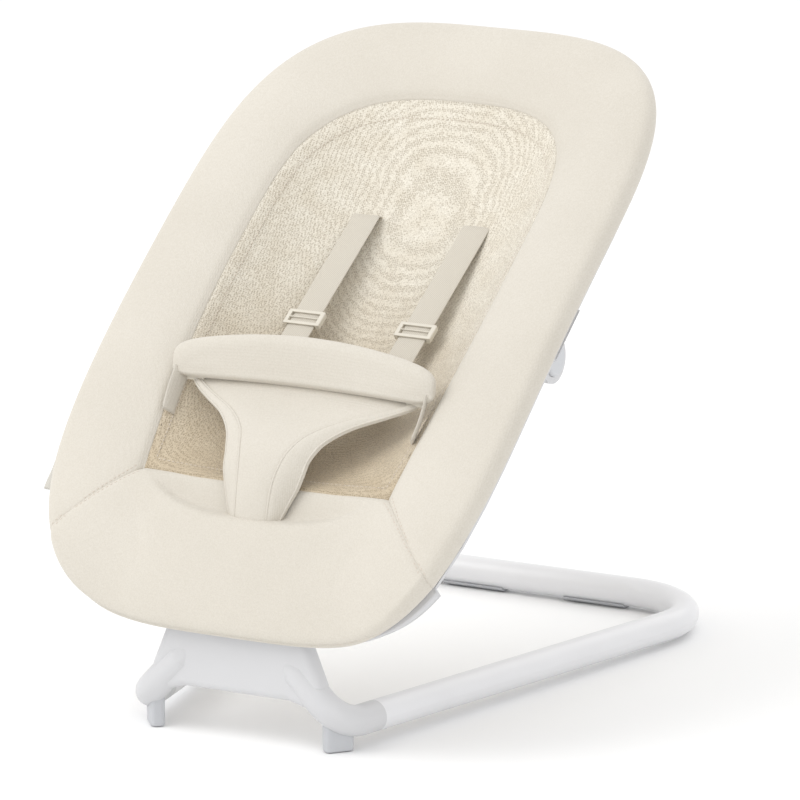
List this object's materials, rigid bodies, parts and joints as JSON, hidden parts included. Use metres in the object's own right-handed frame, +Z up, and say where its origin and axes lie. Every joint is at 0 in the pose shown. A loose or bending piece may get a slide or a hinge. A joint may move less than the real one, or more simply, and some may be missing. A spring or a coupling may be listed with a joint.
{
  "type": "bouncer seat",
  "caption": "Baby bouncer seat: padded fabric edge, mesh sling and safety harness on a sprung bar over a bent-tube floor frame.",
  "frame": {"origin": "on the floor, under the middle of the overall length and width", "axes": "+Z up, -Y towards the front of the seat, where the feet of the child point, +X to the right for someone who faces the front"},
  "size_m": [0.4031, 0.5565, 0.513],
  "materials": {
    "frame_paint": "satin",
    "steel_bar": "satin",
    "fasteners": "zinc plated",
    "white_plastic": "fine texture",
    "grey_plastic": "fine texture",
    "foot_plastic": "matte",
    "cream_plastic": "smooth",
    "melange_fabric": "melange jersey weave",
    "mesh_fabric": "knitted mesh",
    "webbing": "woven webbing",
    "ribbon": "woven ribbon"
  },
  "bodies": {
    "base": {"base_tube": "frame_paint", "rail_rivets": "fasteners", "elbow_left": "white_plastic", "elbow_right": "white_plastic", "foot_left": "foot_plastic", "foot_right": "foot_plastic", "foot_screws": "fasteners", "rear_grip_left": "foot_plastic", "rear_grip_right": "foot_plastic", "housing_front": "white_plastic", "housing_rear": "white_plastic", "housing_screws": "fasteners", "bar_bush_left": "foot_plastic", "bar_bush_right": "foot_plastic"},
    "carrier": {"support_bar": "steel_bar", "hub_inner_left": "white_plastic", "hub_inner_right": "white_plastic", "hub_bolt_left": "steel_bar", "hub_bolt_right": "steel_bar"},
    "seat": {"hub_outer_left": "white_plastic", "hub_outer_right": "white_plastic", "button_spring_left": "fasteners", "button_spring_right": "fasteners", "hoop_upper": "frame_paint", "hoop_lower": "frame_paint", "rim_left": "white_plastic", "rim_right": "white_plastic", "bracket_screws": "fasteners", "apron_shell": "white_plastic", "border_cushion": "melange_fabric", "front_cushion": "melange_fabric", "mesh_panel": "mesh_fabric", "label_tab": "ribbon", "shoulder_strap_left": "webbing", "shoulder_strap_right": "webbing", "strap_anchor_left": "steel_bar", "strap_anchor_right": "steel_bar", "waist_strap_left": "webbing", "waist_strap_right": "webbing", "waist_buckle_left": "cream_plastic", "waist_buckle_right": "cream_plastic"},
    "button_left": {"hub_button_left": "grey_plastic"},
    "button_right": {"hub_button_right": "grey_plastic"},
    "slider_left": {"adjuster_left": "cream_plastic"},
    "slider_right": {"adjuster_right": "cream_plastic"},
    "harness": {"waist_pad": "melange_fabric", "crotch_piece": "melange_fabric"}
  },
  "joints": [
    {"name": "bounce", "type": "hinge", "parent": "base", "child": "carrier", "pos_m": [0, -0.2521, 0.072], "axis": [1, 0, 0], "range_deg": [-6, 5], "stiffness_Nm_per_rad": 90, "springref_deg": 2.28},
    {"name": "recline", "type": "hinge", "parent": "carrier", "child": "seat", "pos_m": [0, -0.03676, 0.28873], "axis": [1, 0, 0], "range_deg": [-14, 0]},
    {"name": "button_press_left", "type": "slide", "parent": "seat", "child": "button_left", "axis": [1, 0, 0], "range_m": [0, 0.003], "stiffness_N_per_m": 900, "springref_m": -0.002},
    {"name": "button_press_right", "type": "slide", "parent": "seat", "child": "button_right", "axis": [-1, 0, 0], "range_m": [0, 0.003], "stiffness_N_per_m": 900, "springref_m": -0.002},
    {"name": "adjuster_slide_left", "type": "slide", "parent": "seat", "child": "slider_left", "axis": [0, -0.8405, -0.5419], "range_m": [-0.07, 0.05]},
    {"name": "adjuster_slide_right", "type": "slide", "parent": "seat", "child": "slider_right", "axis": [0, -0.8405, -0.5419], "range_m": [-0.07, 0.05]},
    {"name": "harness_open", "type": "hinge", "parent": "seat", "child": "harness", "pos_m": [0, -0.2326, 0.176], "axis": [1, 0, 0], "range_deg": [0, 70]}
  ]
}
